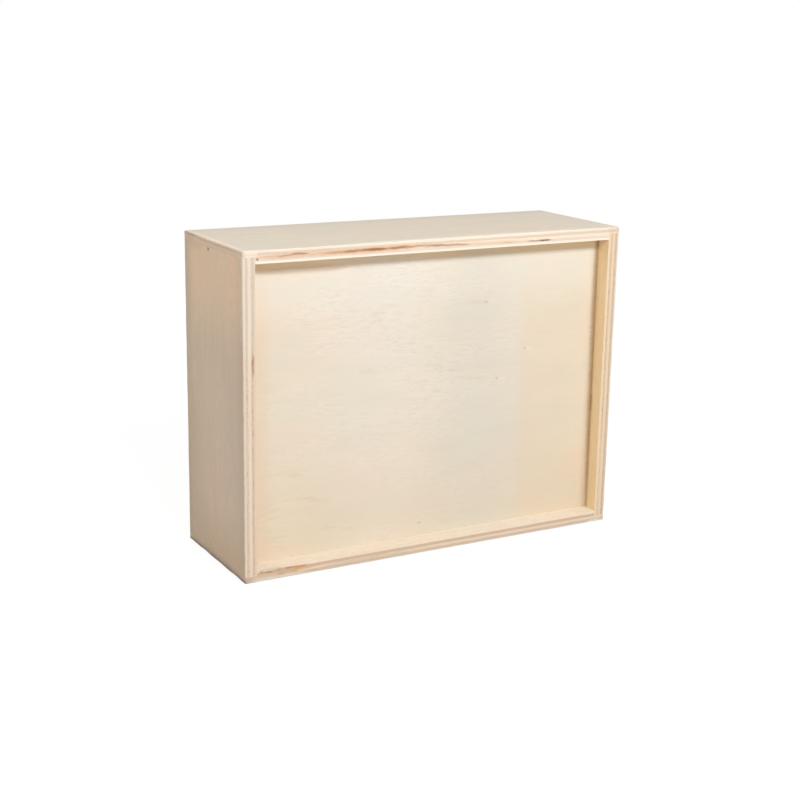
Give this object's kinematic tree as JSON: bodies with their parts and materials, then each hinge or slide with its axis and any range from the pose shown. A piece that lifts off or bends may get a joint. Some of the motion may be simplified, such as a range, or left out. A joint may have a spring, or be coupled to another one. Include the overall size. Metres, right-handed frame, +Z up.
{
  "type": "tabletop chest of drawers",
  "caption": "Shallow plywood tabletop chest with rows of small finger-notched drawers in a halved grid, and a plain back panel set in behind lapped boards.",
  "frame": {"origin": "middle of the base, on the surface that the chest stands on", "axes": "+X along the width to the right of someone facing the drawers, +Y from the drawers to the back panel, +Z up"},
  "size_m": [0.4, 0.136, 0.303],
  "materials": {
    "carcass_board": "bare sanded plywood",
    "back_panel": "bare sanded veneer",
    "grid_board": "bare thin plywood",
    "drawer_front": "bare sanded plywood",
    "drawer_board": "bare thin plywood",
    "pin_steel": "dull, set below the face"
  },
  "bodies": {
    "carcass": {"top_panel": "carcass_board", "bottom_panel": "carcass_board", "left_side": "carcass_board", "right_side": "carcass_board", "back_panel": "back_panel", "carcass_pins": "pin_steel", "shelf_1": "grid_board", "shelf_2": "grid_board", "upright_1": "grid_board", "upright_2": "grid_board"},
    "drawer_1": {"drawer_1_front": "drawer_front", "drawer_1_left_side": "drawer_board", "drawer_1_right_side": "drawer_board", "drawer_1_back": "drawer_board", "drawer_1_bottom": "drawer_board"},
    "drawer_2": {"drawer_2_front": "drawer_front", "drawer_2_left_side": "drawer_board", "drawer_2_right_side": "drawer_board", "drawer_2_back": "drawer_board", "drawer_2_bottom": "drawer_board"},
    "drawer_3": {"drawer_3_front": "drawer_front", "drawer_3_left_side": "drawer_board", "drawer_3_right_side": "drawer_board", "drawer_3_back": "drawer_board", "drawer_3_bottom": "drawer_board"},
    "drawer_4": {"drawer_4_front": "drawer_front", "drawer_4_left_side": "drawer_board", "drawer_4_right_side": "drawer_board", "drawer_4_back": "drawer_board", "drawer_4_bottom": "drawer_board"},
    "drawer_5": {"drawer_5_front": "drawer_front", "drawer_5_left_side": "drawer_board", "drawer_5_right_side": "drawer_board", "drawer_5_back": "drawer_board", "drawer_5_bottom": "drawer_board"},
    "drawer_6": {"drawer_6_front": "drawer_front", "drawer_6_left_side": "drawer_board", "drawer_6_right_side": "drawer_board", "drawer_6_back": "drawer_board", "drawer_6_bottom": "drawer_board"},
    "drawer_7": {"drawer_7_front": "drawer_front", "drawer_7_left_side": "drawer_board", "drawer_7_right_side": "drawer_board", "drawer_7_back": "drawer_board", "drawer_7_bottom": "drawer_board"},
    "drawer_8": {"drawer_8_front": "drawer_front", "drawer_8_left_side": "drawer_board", "drawer_8_right_side": "drawer_board", "drawer_8_back": "drawer_board", "drawer_8_bottom": "drawer_board"},
    "drawer_9": {"drawer_9_front": "drawer_front", "drawer_9_left_side": "drawer_board", "drawer_9_right_side": "drawer_board", "drawer_9_back": "drawer_board", "drawer_9_bottom": "drawer_board"}
  },
  "joints": [
    {"name": "drawer_1_slide", "type": "slide", "parent": "carcass", "child": "drawer_1", "axis": [0, -1, 0], "range_m": [0, 0.095]},
    {"name": "drawer_2_slide", "type": "slide", "parent": "carcass", "child": "drawer_2", "axis": [0, -1, 0], "range_m": [0, 0.095]},
    {"name": "drawer_3_slide", "type": "slide", "parent": "carcass", "child": "drawer_3", "axis": [0, -1, 0], "range_m": [0, 0.095]},
    {"name": "drawer_4_slide", "type": "slide", "parent": "carcass", "child": "drawer_4", "axis": [0, -1, 0], "range_m": [0, 0.095]},
    {"name": "drawer_5_slide", "type": "slide", "parent": "carcass", "child": "drawer_5", "axis": [0, -1, 0], "range_m": [0, 0.095]},
    {"name": "drawer_6_slide", "type": "slide", "parent": "carcass", "child": "drawer_6", "axis": [0, -1, 0], "range_m": [0, 0.095]},
    {"name": "drawer_7_slide", "type": "slide", "parent": "carcass", "child": "drawer_7", "axis": [0, -1, 0], "range_m": [0, 0.095]},
    {"name": "drawer_8_slide", "type": "slide", "parent": "carcass", "child": "drawer_8", "axis": [0, -1, 0], "range_m": [0, 0.095]},
    {"name": "drawer_9_slide", "type": "slide", "parent": "carcass", "child": "drawer_9", "axis": [0, -1, 0], "range_m": [0, 0.095]}
  ]
}
